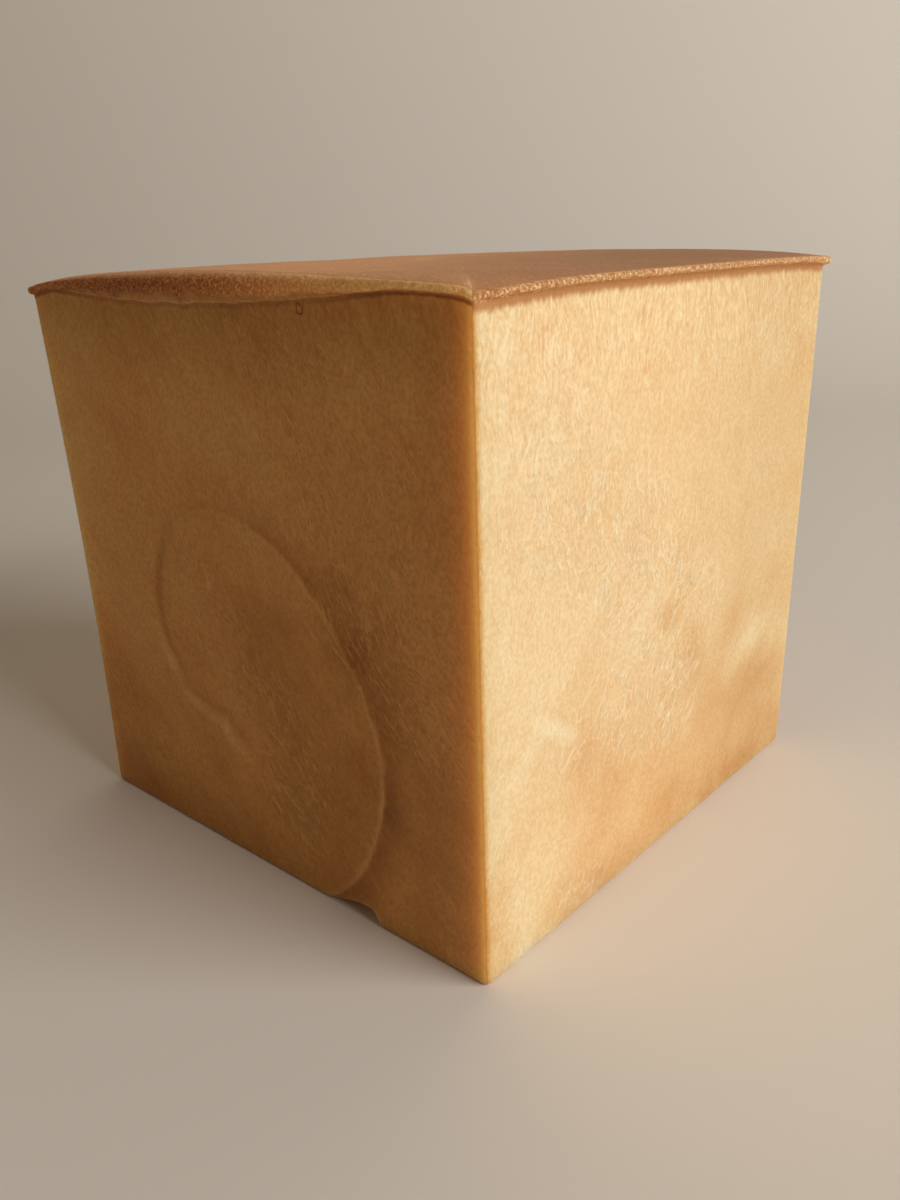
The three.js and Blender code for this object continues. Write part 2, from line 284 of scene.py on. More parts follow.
BUBBLE_RIM = 0.8  # from the middle of the bubble to its dark ring

# Colours as they look on a screen, from 0 to 255. Those of a ramp come with their places on it.
CRUST_TONES = (
    (0.0, (249, 230, 190)),
    (0.3, (241, 211, 163)),
    (0.55, (232, 191, 137)),
    (1.0, (212, 156, 97)),
)
FIN_TONES = ((0.38, (168, 104, 56)), (0.52, (200, 139, 86)), (0.66, (246, 200, 152)))
TOP_TONES = ((0.3, (234, 163, 108)), (0.7, (248, 176, 119)))
TONES = {
    "pores": (236, 228, 214),
    # painted shade beside a curl
    "brown side of a curl": (236, 218, 194),
    "pale marks": (253, 236, 200),
    # pale marks on the ends, with a painted highlight where they would catch the light
    "pale marks on an end": (255, 218, 172),
    # painted shade on the roll's ends, and its tint on their brown parts
    "end": (230, 194, 140),
    "brown parts of an end": (246, 253, 255),
    "right of the front": (243, 247, 248),
    "near an upright edge": (255, 250, 242),
    # a painted glow of light along the near edge of the ends
    "glow of the near edge": (255, 187, 106),
    "upright edge": (255, 222, 176),
    # painted shade in the spiral's crease, valley and ridge foot, and a painted highlight on its
    # rim and crest
    "low parts of the spiral": (215, 198, 176),
    "high parts of the spiral": (255, 208, 150),
    # a brown band with painted shadow under the fin, darker on the ends
    "band under the fin": (180, 120, 63),
    "band on an end": (205, 180, 150),
    "shade under the lip": (236, 236, 227),
    # a painted highlight on the lip's lower edge
    "torn lip": (236, 200, 156),
    # painted shade on the fin of an end, painted light and shade along the lip, and a painted
    # highlight on the fin's crest
    "fin on an end": (252, 228, 188),
    "near part of the lip": (255, 192, 124),
    "far part of the lip": (198, 188, 172),
    "crest of the fin": (255, 190, 130),
    "pores of the top": (238, 230, 222),
    # painted shade on the top towards the front's right corner
    "near part of the top": (188, 190, 188),
    "torn skin": (205, 172, 140),
    "floor": (238, 232, 223),
}

CRUST_ROUGHNESS = 0.58
CRUST_SHINE = 0.3
LIGHT_THROUGH = 0.65  # how much light the crust lets in
LIGHT_REACH = 0.013  # how far, in metres
LIGHT_SHARES = (1.0, 0.9, 0.75)  # and the shares of that for red, green and blue
FLOOR_ROUGHNESS = 0.85

# A Mix node's sockets for colours, which share their names with its other sockets
MIX_SHARE, MIX_FROM, MIX_TO, MIX_RESULT = 0, 6, 7, 2

# The camera as it stood for the photograph: angles in degrees, lens in millimetres
CAMERA_PLACE = (-0.16875, -0.15190, 0.12546)
CAMERA_AZIMUTH = -48.13
CAMERA_ELEVATION = 19.93
CAMERA_ROLL = -1.91
CAMERA_LENS = 30.02
CAMERA_SENSOR = 36.0

# The pale sheet under and behind the loaf, in metres along the camera's view
SHEET_CELLS = (60, 120)
SHEET_HALF_WIDTH = 2.5
SHEET_FRONT = -2.5
SHEET_BACK = 3.6
SWEEP_START = 0.5
SWEEP_RADIUS = 0.5

# The softbox: angles in degrees and sizes in metres, seen from the loaf's middle
LOAF_MIDDLE = (0.0, 0.0, 0.06)
SOFTBOX_AZIMUTH = 12.0
SOFTBOX_ELEVATION = 24.0
SOFTBOX_DISTANCE = 1.6
SOFTBOX_SIZE = (1.36, 0.7)
SOFTBOX_POWER = 22.0
SOFTBOX_COLOUR = (1.0, 0.985, 0.96)
ROOM_COLOUR = (1.0, 0.76, 0.52, 1.0)
ROOM_STRENGTH = 0.15


def clamp(value, low, high):
    return min(max(value, low), high)


def smooth(value):
    t = clamp(value, 0.0, 1.0)
    return t * t * (3 - 2 * t)


def mix(start, end, share):
    return start + (end - start) * share


def rise(value, start, width):
    """0 up to start and 1 from a width after it, smoothly."""
    return smooth((value - start) / width)


def fall(value, start, width):
    """1 up to start and 0 from a width after it, smoothly."""
    return 1 - rise(value, start, width)


def grain(x, y, z, size, seed=0.0):
    """Smooth noise from -1 to 1 whose lumps are about size millimetres across."""
    return noise.noise(Vector((x / size + seed, y / size - seed, z / size + 2 * seed)))


def side_length(side):
    return LENGTH_X if side % 2 == 0 else LENGTH_Y


def from_corner(side, w):
    """Distance to the nearest end of a side, along which w runs from -1 to 1."""
    return (1 - abs(w)) / 2 * side_length(side)


def between_corners(side, w, key):
    """The corners' values blended along a side."""
    return mix(CORNERS[side][key], CORNERS[(side + 1) % 4][key], (w + 1) / 2)


def nearest_corner(side, w):
    return CORNERS[side if w < 0 else (side + 1) % 4]


def fold_depth(side, w):
    """How much deeper the fin is where it is folded down."""
    fold = SIDES[side]["fold"]
    if not fold:
        return 0.0
    depth, start, peak, end = fold
    along = (w + 1) / 2 * side_length(side)
    span = peak - start if along < peak else end - peak
    waves = 1 + FOLD_WAVES * grain(along, 0.0, 30.0 * side, FOLD_WAVE_SIZE)
    return waves * depth * max(0.0, 1 - ((along - peak) / span) ** 2)


def fin_top(side, w):
    """Height of the fin, which rises a little, by its lift, beside its side's last corner."""
    middle = SIDES[side]["fin_top"]
    lift = SIDES[side]["lift"] if w > 0 else 0.0
    arc = SIDES[side]["arcs"][1 if w > 0 else 0]
    corner = nearest_corner(side, w)["fin_top"] + lift
    sinking = lift * math.exp(-from_corner(side, w) / LIFT_LENGTH)
    return middle - (middle - corner) * abs(w) ** arc - sinking


def near_corner(side, w, key):
    """A corner's value that dies away along its sides."""
    return nearest_corner(side, w)[key] * math.exp(-from_corner(side, w) / TIP_LENGTH)


def gap_height(side, w):
    """Height of the gap under the -X face: steep near the front, running out to the back."""
    if side != LEFT:
        return 0.0
    along = along_side(side, w)
    front = rise(along, GAP_FROM, (GAP_CREST - GAP_FROM) / 2)
    return GAP_HEIGHT * front * fall(along, GAP_CREST, GAP_TO - GAP_CREST)


def gap_opening(side, w):
    return GAP_DEPTH * gap_height(side, w) / GAP_HEIGHT


def roll_line(along, up):
    """Turn about the roll's middle, distance outside the spiral's line, and way out from it."""
    across, above = along - ROLL_CENTRE[0], up - ROLL_CENTRE[1]
    radius = math.hypot(across, above) or 1.0
    turn = math.atan2(above, across)
    if turn < ROLL_START:
        turn += 2 * math.pi
    line = ROLL_RADIUS + ROLL_GROWTH * turn + ROLL_OVAL * math.cos(2 * (turn - ROLL_OVAL_TURN))
    line -= TAIL_DRAW * rise(turn, *LINE_DRAWS_IN)
    line -= TIP_DRAW * math.exp(-(((turn - TIP_TURN) / TIP_WIDTH) ** 2))
    line += RAGGED * (grain(10 * turn, 0.0, 0.0, 1.0) + grain(3 * turn, 0.0, 0.0, 1.0, 5.0))
    line += LOBE_DEPTH * fall(turn, *LOBES_END) * math.sin(2 * math.pi * turn / LOBE_TURN)
    return turn, radius - line, (across / radius, above / radius)


def ridge_place(turn):
    """How far outside the spiral's line the ridge's steep side stands."""
    return mix(RIDGE_INNER_PLACE, RIDGE_OUTER_PLACE, rise(turn, *RIDGE_MOVES_OUT))


def roll_parts(turn):
    """How strongly the proud inside, the crease and the ridge show at a turn of the spiral."""
    present = rise(turn, *SPIRAL_STARTS) * fall(turn, *SPIRAL_ENDS)
    uneven = 0.75 + 0.6 * grain(5 * turn, 0.0, 0.0, 1.0, 9.0)
    proud = 0.25 * rise(turn, *INSIDE_STARTS_PROUD) + 0.75 * rise(turn, *INSIDE_GROWS_PROUDER)
    crease = rise(turn, *CREASE_STARTS) * fall(turn, *CREASE_ENDS)
    crease *= 1 - 0.85 * rise(turn, *CREASE_WEAKENS)
    ridge = fall(turn, *RIDGE_ENDS)
    return present * proud * uneven, present * crease, present * ridge * uneven


def roll_relief(along, up):
    """How far the roll's end stands out from its wall."""
    turn, distance, _ = roll_line(along, up)
    proud, crease, ridge = roll_parts(turn)
    groove = CREASE_DEPTH * crease * math.exp(-((distance / CREASE_WIDTH) ** 2))
    bank = RIDGE_HEIGHT * ridge * rise(distance, ridge_place(turn) - RIDGE_RISE / 2, RIDGE_RISE)
    if distance <= 0.01:
        return SKIN_STEP * proud * math.exp(distance / ROLL_INSIDE_FADE) + bank - groove
    fade = math.exp(-distance / ROLL_OUTSIDE_FADE)
    return (bank - SKIN_VALLEY * proud) * fade - groove


def has_roll_end(side):
    return side in (RIGHT, LEFT)


def along_side(side, w):
    """Distance along a side: from the -Y face on the roll's ends, else from the side's start."""
    return (1 - w if side == LEFT else 1 + w) / 2 * side_length(side)


def wall_ripple(side, along, up):
    """Low waves in a wall, which begin elsewhere on each side."""
    broad = math.sin(along / BROAD_WAVES[0] + 1.7 * side + 0.05 * up)
    broad *= math.sin(up / BROAD_WAVES[1] + 2.1 * side)
    small = math.sin(along / SMALL_WAVES[0] - up / SMALL_WAVES[1] + side)
    return RIPPLE * (broad + 0.5 * small)


def wall_relief(side, w, up):
    """Relief of a wall, which dies out towards its four edges."""
    along = along_side(side, w)
    roll = roll_relief(along, up) if has_roll_end(side) else 0.0
    inside = smooth((1 - abs(w)) * 8) * rise(up, 0.0, RELIEF_FADE)
    inside *= fall(up, TAPER_HEIGHT - RELIEF_FADE, RELIEF_FADE)
    wrinkles = WRINKLES * grain(along + 0.5 * up, 40.0 * side, 0.6 * up, WRINKLE_SIZE)
    return (roll + wall_ripple(side, along, up)) * inside + wrinkles * smooth((1 - abs(w)) * 20)


def wall_offset(side, w, up):
    """How far a wall stands out from the tin's straight line at a height."""
    share = clamp(up / TAPER_HEIGHT, 0.0, 1.0)
    bow = math.sin(math.pi * share)
    edge = (
        between_corners(side, w, "foot")
        - between_corners(side, w, "belly") * bow
        - between_corners(side, w, "lean") * share * share
    )
    return edge - WALL_DISH * bow * (1 - w * w) + wall_relief(side, w, up)


def under_point(side, w, row):
    """Point of the rounded lower edge, lifted and drawn in where the gap is."""
    share = row / UNDER_ROWS
    angle = math.pi / 2 * share
    gap = gap_height(side, w)
    opening = gap_opening(side, w) * (1 - share) ** 2
    up = UNDER_RADIUS * (1 - math.cos(angle)) + gap * min(1.0, 1.6 * share)
    return wall_offset(side, w, up) - UNDER_RADIUS * (1 - math.sin(angle)) - opening, up


def fillet_point(start, end, share):
    """Point of the curve by which the wall runs out into the underside of the fin."""
    (out, up), (tip_out, tip_up) = start, end
    below = (out, tip_up - FILLET_DROP)
    above = (out + FILLET_BULGE, tip_up + FILLET_BULGE)
    points = ((out, up), below, above, (tip_out, tip_up))
    weights = ((1 - share) ** 3, 3 * share * (1 - share) ** 2, 3 * share**2 * (1 - share), share**3)
    return tuple(sum(k * p[axis] for k, p in zip(weights, points)) for axis in (0, 1))


def fin_depth(side, w):
    return FIN_THICKNESS + fold_depth(side, w) + near_corner(side, w, "sag")


def pinch(side, w):
    """The fin is pinched close to each corner."""
    beside = (from_corner(side, w) - PINCH_PLACE) / PINCH_WIDTH
    return PINCH_DEPTH * math.exp(-(beside**2))


def section_point(side, w, row):
    """Point of the upright section at w as distance out from the tin's straight wall and height."""
    depth = fin_depth(side, w)
    lip = fin_top(side, w) - depth
    head = lip - WALL_HEAD
    if row <= UNDER_ROWS:
        return under_point(side, w, row)
    if row <= HEAD_ROW:
        share = (row - UNDER_ROWS) / WALL_ROWS
        up = mix(UNDER_RADIUS + gap_height(side, w), head, share)
        return wall_offset(side, w, up), up
    reach = SIDES[side]["reach"] + near_corner(side, w, "tip") - pinch(side, w)
    under, over = min(UNDER_SHARE * depth, LIP_UNDER), min(OVER_SHARE * depth, LIP_OVER)
    if row <= LIP_ROW:
        start = (wall_offset(side, w, head), head)
        return fillet_point(start, (reach - under, lip), (row - HEAD_ROW) / FILLET_ROWS)
    widest = 0.5 * depth
    if row <= SHELF_ROW:
        angle = math.pi * ((row - LIP_ROW) / EDGE_ROWS - 0.5)
        if angle < 0:
            return reach - under + under * math.cos(angle), lip + widest * (1 + math.sin(angle))
        lifted = (depth - widest) * math.sin(angle)
        return reach - over + over * math.cos(angle), lip + widest + lifted
    share = (row - SHELF_ROW) / SHELF_ROWS
    inner = reach - max(SHELF_WIDTH, over + SHELF_ROOM)
    return mix(reach - over, inner, share), lip + depth + SHELF_RISE * share


def on_outline(x, y, half_x, half_y, radius, out):
    """Point of a rounded rectangle that stands a distance out from its straight sides."""
    inside_x = clamp(x, radius - half_x, half_x - radius)
    inside_y = clamp(y, radius - half_y, half_y - radius)
    away = (radius + out) / math.hypot(x - inside_x, y - inside_y)
    return inside_x + (x - inside_x) * away, inside_y + (y - inside_y) * away


def spread(t):
    """Cells are narrow near the block's upright edges."""
    if abs(t) <= NARROW_FROM:
        return t * NARROW_PLACE / NARROW_FROM
    share = (abs(t) - NARROW_FROM) / (1 - NARROW_FROM)
    return math.copysign(mix(NARROW_PLACE, 1.0, share), t)


def cell_width():
    return LENGTH_Y / CELLS_Y * NARROW_PLACE / NARROW_FROM


def side_of(a, b):
    """The side that a point of the square's outline belongs to, and its place along it."""
    ring = max(abs(a), abs(b))
    if b == -ring:
        return FRONT, a / ring
    if a == ring:
        return RIGHT, b / ring
    if b == ring:
        return BACK, -a / ring
    return LEFT, -b / ring


def outline_point(a, b, out, up, radius):
    """Point of the loaf's outline at a height, as the tin leans out."""
    lean = TIN_DRAFT * up / TAPER_HEIGHT
    half_x, half_y = LENGTH_X / 2 + lean, LENGTH_Y / 2 + lean
    return on_outline(a * half_x, b * half_y, half_x, half_y, radius, out)


def snap_to_roll(side, w, up):
    """Draws a wall point of the roll's end onto the spiral where it is within half a cell."""
    along = along_side(side, w)
    turn, distance, direction = roll_line(along, up)
    across_cell = abs(roll_line(along + cell_width(), up)[1] - distance)
    up_cell = abs(roll_line(along, up + TAPER_HEIGHT / WALL_ROWS)[1] - distance)
    near = NEAR_LINE * min(cell_width() * 1.2, max(across_cell, up_cell))
    if up < ROLL_FLOOR or not CRISP_FROM < turn < ROLL_END or abs(distance) > near:
        return w, up
    share = 2 * (along - distance * direction[0]) / LENGTH_Y - 1
    return (-share if side == LEFT else share), up - distance * direction[1]


def fin_crags(side, w, x, y, up, row):
    """Rough grain of the fin, coarser where it is folded down."""
    strength = rise(row, HEAD_ROW, 4) * fall(row, ROWS - 2, 2)
    folded = min(1.0, fold_depth(side, w) / 2)
    fine = FINE_CRAGS * grain(x, y, up, 1.0)
    coarse = folded * COARSE_CRAGS * grain(x, y, 2.2 * up, 4.0, 7.0)
    return strength * (fine + coarse)


def wall_point(a, b, row):
    """Point of a wall or of the fin at a row of cells."""
    side, w = side_of(a, b)
    out, up = section_point(side, w, row)
    radius = UPRIGHT_RADIUS
    if UNDER_ROWS < row < HEAD_ROW and has_roll_end(side):
        w, up = snap_to_roll(side, w, up)
        out = wall_offset(side, w, up)
        facing = -1 if side == LEFT else 1
        a, b = facing, facing * w
    if row > HEAD_ROW:
        radius = mix(UPRIGHT_RADIUS, FIN_CORNER_RADIUS, rise(row, HEAD_ROW, FILLET_ROWS))
        x, y = outline_point(a, b, out, up, radius)
        crags = fin_crags(side, w, x, y, up, row)
        x, y = outline_point(a, b, out + crags, up, radius)
        return x, y, up + 0.4 * crags
    x, y = outline_point(a, b, out, up, radius)
    return x, y, up


def underside_point(a, b):
    """The underside is made of smaller copies of its outline, drawn in where the gap is."""
    ring = max(abs(a), abs(b))
    if ring == 0:
        return 0.0, 0.0, 0.0
    side, w = side_of(a / ring, b / ring)
    out = wall_offset(side, w, 0.0) - UNDER_RADIUS
    x, y = outline_point(a / ring, b / ring, out, 0.0, UPRIGHT_RADIUS)
    drawn_in = gap_opening(LEFT, -b) * fall(a, -1, GAP_RUN)
    return x * ring + drawn_in, y * ring, 0.0


def crown(a, b):
    """Height of the top face where it turns down towards the middles of the sides."""
    front_back = mix(SIDES[FRONT]["fin_top"], SIDES[BACK]["fin_top"], (b + 1) / 2)
    left_right = mix(SIDES[LEFT]["fin_top"], SIDES[RIGHT]["fin_top"], (a + 1) / 2)
    down = (CROWN_HEIGHT - front_back) * abs(b) ** CROWN_POWER
    return CROWN_HEIGHT - down - (CROWN_HEIGHT - left_right) * abs(a) ** CROWN_POWER


def top_point(a, b):
    """The top face is the crown, which meets the fin within a few millimetres of its edge."""
    ring = max(abs(a), abs(b))
    if ring == 0:
        return 0.0, 0.0, CROWN_HEIGHT
    x, y, edge = wall_point(a / ring, b / ring, ROWS)
    swell = math.sin(x / 11 + 1) * math.cos(y / 14) * smooth((1 - ring) * 4)
    from_crown = edge - crown(a / ring, b / ring)
    up = crown(a, b) + from_crown * ring**EDGE_POWER + CROWN_SWELL * swell
    x, y = x * ring, y * ring
    return x, y, up + TOP_GRAIN * grain(x, y, up, 4.0)


def loaf_point(a, b, row):
    if row == 0:
        return underside_point(a, b)
    if max(abs(a), abs(b)) > ON_EDGE:
        return wall_point(a, b, row)
    return top_point(a, b)


def cut_edges(bm, axis, cells):
    """Cuts every edge of the cube that runs along an axis into cells."""
    others = [k for k in range(3) if k != axis]
    edges = [
        e
        for e in bm.edges
        if all(abs(e.verts[0].co[k] - e.verts[1].co[k]) < NO_LENGTH for k in others)
    ]
    bmesh.ops.subdivide_edges(bm, edges=edges, cuts=cells - 1, use_grid_fill=True)


def near_stroke(along, up, start, end, width):
    """1 on a stroke from start to end on a face, and 0 further away than its width."""
    run, climb = end[0] - start[0], end[1] - start[1]
    share = ((along - start[0]) * run + (up - start[1]) * climb) / (run * run + climb * climb)
    share = clamp(share, 0.0, 1.0)
    away = math.hypot(along - start[0] - share * run, up - start[1] - share * climb)
    return smooth(1 - away / width)


def browning(side, along, up):
    """How much browner than the rest a place is baked, or how much paler where it is below 0."""
    patches = {FRONT: FRONT_PATCHES, LEFT: END_PATCHES}.get(side, ())
    brown = sum(k * near_stroke(along, up, a, b, width) for a, b, width, k in patches)
    brown *= 1 + PATCH_GRAIN * grain(along, up, side, PATCH_GRAIN_SIZE)
    low = fall(up, *LOW_DOWN) * rise(along, *OFF_THE_EDGE)
    if side == FRONT:
        across = rise(along, *FRONT_BROWNER) - fall(along, *FRONT_PALER)
        return brown + FRONT_LOW_BROWNING * low + FRONT_BROWNING * across
    if side != LEFT:
        brown += HIDDEN_BROWNING * grain(along, up, 70.0 * side, HIDDEN_CLOUD)
    return brown + LOW_BROWNING * low


def thickly_marked(side, along, up):
    """How thickly the crust's light stretch marks lie."""
    strokes = {FRONT: FRONT_MARKS, LEFT: END_MARKS}.get(side)
    if not strokes:
        return 0.4 + 0.6 * grain(along, up, 50.0 * side, 22.0)
    return min(1.0, sum(k * near_stroke(along, up, a, b, wide) for a, b, wide, k in strokes))


def how_stranded(side, along, up):
    """How strongly the skin's short upright strands show: most under the fin and near the edge."""
    near_edge = 0.64 * fall(along, *STRANDS_BY_EDGE) if side == FRONT else 0.0
    upper = 0.5 * rise(up, *STRANDS_HIGH_UP)
    strength = END_STRANDS if has_roll_end(side) else 1.0
    return strength * (0.5 + near_edge + upper + 0.3 * grain(along, up, side, 15.0))


def paint(vert, layers, side, w, up, y, row, ring):
    """Notes at each point what the crust needs to know about its place."""
    along = along_side(side, w)
    turn, distance, _ = roll_line(y + LENGTH_Y / 2, up)
    proud, crease, ridge = roll_parts(turn)
    folded = rise(fold_depth(side, w), 0.0, FOLD_SHOWS)
    # The fin's colour begins at its underside, and at a ragged line where it is folded down
    ragged = 0.2 + 0.2 * grain(along, 0.0, side, 3.0) + 0.15 * grain(along, 9.0, side, 12.0)
    golden_from = mix(HEAD_ROW + 0.5 * FILLET_ROWS, LIP_ROW + ragged * EDGE_ROWS, folded)
    on_top = rise(row, SHELF_ROW, SHELF_ROWS)
    flat = max(on_top, smooth((1 - ring) * 12))
    if has_roll_end(side):
        on_end = 1 - flat
        glow = math.exp(-along / EDGE_GLOW_REACH)
    else:
        on_end = 0.0
        glow = math.exp(-from_corner(side, w) / EDGE_PALE_REACH)
    notes = {
        "below_fin": fin_top(side, w) - fin_depth(side, w) - up,
        "band": 1 - 0.7 * folded,
        # where the folded lip's lower edge gets a painted highlight
        "lip_edge": folded * smooth(1 - abs(row - LIP_ROW - 0.5) / 2),
        "fin_crest": smooth(1 - abs(row - SHELF_ROW + 1) / mix(2.0, 2.4, folded)),
        "on_fin": rise(row, golden_from, 2),
        "on_top": on_top,
        "on_end": on_end,
        "browning": browning(side, along, up) * (1 - flat),
        "marks": thickly_marked(side, along, up) * (1 - flat),
        "strands": mix(how_stranded(side, along, up), 0.3, flat),
        "near_edge": glow * (1 - flat),
        "outside_roll": distance,
        "outside_ridge": distance - ridge_place(turn),
        "crease": crease * on_end,
        # how strongly the valley outside the spiral gets painted shade and its rim a painted
        # highlight
        "valley": proud * (1 + 0.6 * rise(turn, *VALLEY_SHADE_DEEPENS)) * on_end,
        "ridge": ridge * on_end,
    }
    for name, value in notes.items():
        vert[layers[name]] = value


def row_of(vert):
    return (vert.co.z + 1) / 2 * ROWS


def on_wall(vert):
    return max(abs(vert.co.x), abs(vert.co.y)) > ON_EDGE


def halve_fin_cells(bm):
    """Makes the fin's cells half as long, for its grain."""
    edges = [
        e
        for e in bm.edges
        if all(on_wall(v) and HEAD_ROW + 1 < row_of(v) < ROWS - 0.5 for v in e.verts)
        and abs(e.verts[0].co.z - e.verts[1].co.z) < NO_LENGTH
    ]
    bmesh.ops.subdivide_edges(bm, edges=edges, cuts=1, use_grid_fill=True)


def shape_loaf():
    """A cube cut into cells, whose points are moved to their places on the loaf and painted."""
    bm = bmesh.new()
    bmesh.ops.create_cube(bm, size=2)
    cut_edges(bm, 0, CELLS_X)
    cut_edges(bm, 1, CELLS_Y)
    cut_edges(bm, 2, ROWS)
    halve_fin_cells(bm)
    layers = {name: bm.verts.layers.float.new(name) for name in PAINTED}
    for vert in bm.verts:
        a, b = (
            math.copysign(1, place) if abs(place) > ON_EDGE else spread(place)
            for place in vert.co.xy
        )
        row = round(row_of(vert))
        x, y, up = loaf_point(a, b, row)
        ring = max(abs(a), abs(b))
        side, w = side_of(a / ring, b / ring) if ring else (FRONT, 0.0)
        paint(vert, layers, side, w, up, y, row, ring)
        vert.co = ((x + MIDDLE[0]) * MM, (y + MIDDLE[1]) * MM, up * MM)
    for face in bm.faces:
        face.smooth = True
    return bm


def add_piece(name, bm, material):
    mesh = bpy.data.meshes.new(name)
    bm.to_mesh(mesh)
    bm.free()
    mesh.materials.append(material)
    piece = bpy.data.objects.new(name, mesh)
    bpy.context.scene.collection.objects.link(piece)
    return piece


def screen_tone(red, green, blue):
    """A colour given as it looks on a screen, from 0 to 255, as the shader wants it."""
    shares = (value / 255 for value in (red, green, blue))
    return (*(s / 12.92 if s <= 0.04045 else ((s + 0.055) / 1.055) ** 2.4 for s in shares), 1.0)


class Shade:
    """A value in a material, which can be used in Python expressions."""

    def __init__(self, tree, socket=None):
        self.tree = tree
        self.socket = socket

    def node(self, kind, settings=None, sockets=None, output=0):
        """Any node: its settings come first, then its sockets' values or links."""
        made = self.tree.nodes.new("ShaderNode" + kind)
        for name, value in (settings or {}).items():
            if name == "stops":
                self.set_stops(made.color_ramp, value)
            else:
                setattr(made, name, value)
        for name, value in (sockets or {}).items():
            if isinstance(value, Shade):
                self.tree.links.new(value.socket, made.inputs[name])
            else:
                made.inputs[name].default_value = value
        return Shade(self.tree, made.outputs[output] if made.outputs else None)

    @staticmethod
    def set_stops(ramp, stops):
        while len(ramp.elements) < len(stops):
            ramp.elements.new(0.5)
        for element, (place, colour) in zip(ramp.elements, stops):
            element.position = place
            element.color = screen_tone(*colour)

    def maths(self, operation, *others):
        sockets = dict(enumerate((self, *others)))
        return self.node("Math", {"operation": operation}, sockets)

    def __add__(self, other):
        return self.maths("ADD", other)

    __radd__ = __add__

    def __mul__(self, other):
        return self.maths("MULTIPLY", other)

    __rmul__ = __mul__

    def __sub__(self, other):
        return self.maths("SUBTRACT", other)

    def __rsub__(self, other):
        return self.node("Math", {"operation": "SUBTRACT"}, {0: other, 1: self})

    def __abs__(self):
        return self.maths("ABSOLUTE")

    def between(self, low, high):
        """0 at low and 1 at high, smoothly. Low may be above high."""
        sockets = {"Value": self, "From Min": min(low, high), "From Max": max(low, high)}
        if low > high:
            sockets.update({"To Min": 1.0, "To Max": 0.0})
        return self.node("MapRange", {"interpolation_type": "SMOOTHSTEP"}, sockets)

    def mixed(self, colour, share, settings=None):
        """This colour mixed by a share with another one, or with a tone by its name."""
        other = colour if isinstance(colour, Shade) else screen_tone(*TONES[colour])
        sockets = {MIX_SHARE: share, MIX_FROM: self, MIX_TO: other}
        return self.node("Mix", {"data_type": "RGBA", **(settings or {})}, sockets, MIX_RESULT)

    def tinted(self, colour, share=1.0):
        """This colour multiplied by another one, by a share."""
        return self.mixed(colour, share, {"blend_type": "MULTIPLY"})

    def ramp(self, stops):
        """The colour at this value on a ramp."""
        return self.node("ValToRGB", {"stops": stops}, {"Fac": self})

    def parts(self):
        return (self.node("SeparateXYZ", None, {"Vector": self}, axis) for axis in "XYZ")

    def moved(self, way):
        """A place moved by another vector."""
        return self.node("VectorMath", {"operation": "ADD"}, {0: self, 1: way})

    def swirls(self, reach):
        """Vectors of up to reach millimetres that drift from place to place."""
        centred = self.node("VectorMath", {"operation": "SUBTRACT"}, {0: self, 1: (0.5, 0.5, 0.5)})
        return centred.node("VectorMath", {"operation": "SCALE"}, {0: centred, "Scale": reach})

    def pattern(self, name, output="Fac"):
        """One of the crust's patterns at this place, which is in millimetres."""
        lumps, detail, roughness = PATTERNS[name]
        scaled = {0: self, 1: tuple(1 / size for size in lumps)}
        place = self.node("VectorMath", {"operation": "MULTIPLY"}, scaled)
        sockets = {"Vector": place, "Scale": 1.0, "Detail": detail, "Roughness": roughness}
        return self.node("TexNoise", {"noise_dimensions": "3D"}, sockets, output)


def new_material(name):
    material = bpy.data.materials.new(name)
    material.use_nodes = True
    tree = material.node_tree
    tree.nodes.clear()
    return material, Shade(tree)


def dough_flow(place, on_end):
    """Places for patterns that drift, lean or curl with the dough as it filled the tin.

    Patterns stand upright near the top of the -Y face and lean to the right below. On the roll's
    ends they lean away from the -Y face.
    """
    x, y, z = place.parts()
    drift = place.pattern("drift", "Color").swirls(DRIFT_REACH)
    curl = place.pattern("curl", "Color").swirls(CURL_REACH)
    low = (LEAN_BELOW - z).maths("MAXIMUM", 0.0)
    across = x + low * (1 - on_end) * LEAN_RIGHT
    inward = y - (z - low) * on_end * LEAN_BACK
    straight = place.node("CombineXYZ", None, {"X": across, "Y": inward, "Z": z})
    leaning = straight.moved(drift)
    return place.moved(drift), straight, leaning, leaning.moved(curl)


def fin_colour(place, note):
    """Crumbs of dark and light crust, with a painted highlight on the crest. On the -X side the fin
    has painted shade, and the lip golden painted light near the front and painted shade behind.
    """
    _, y, _ = place.parts()
    on_end = note["on_end"]
    colour = place.pattern("crumbs").ramp(FIN_TONES)
    colour = colour.tinted("fin on an end", on_end)
    colour = colour.mixed("near part of the lip", y.between(5, -40) * on_end * 0.48)
    colour = colour.tinted("far part of the lip", y.between(-25, 25) * on_end)
    return colour.mixed("crest of the fin", note["fin_crest"] * (on_end * 0.35 + 0.2))


def top_colour(place, pores):
    """The top face is reddish, and has painted shade that dulls it near the front's right corner.
    """
    x, y, _ = place.parts()
    colour = place.pattern("top clouds").ramp(TOP_TONES)
    colour = colour.tinted("pores of the top", pores.between(0.62, 0.38) * 0.6)
    return colour.tinted("near part of the top", (x * 0.5 - y).between(-20, 60))


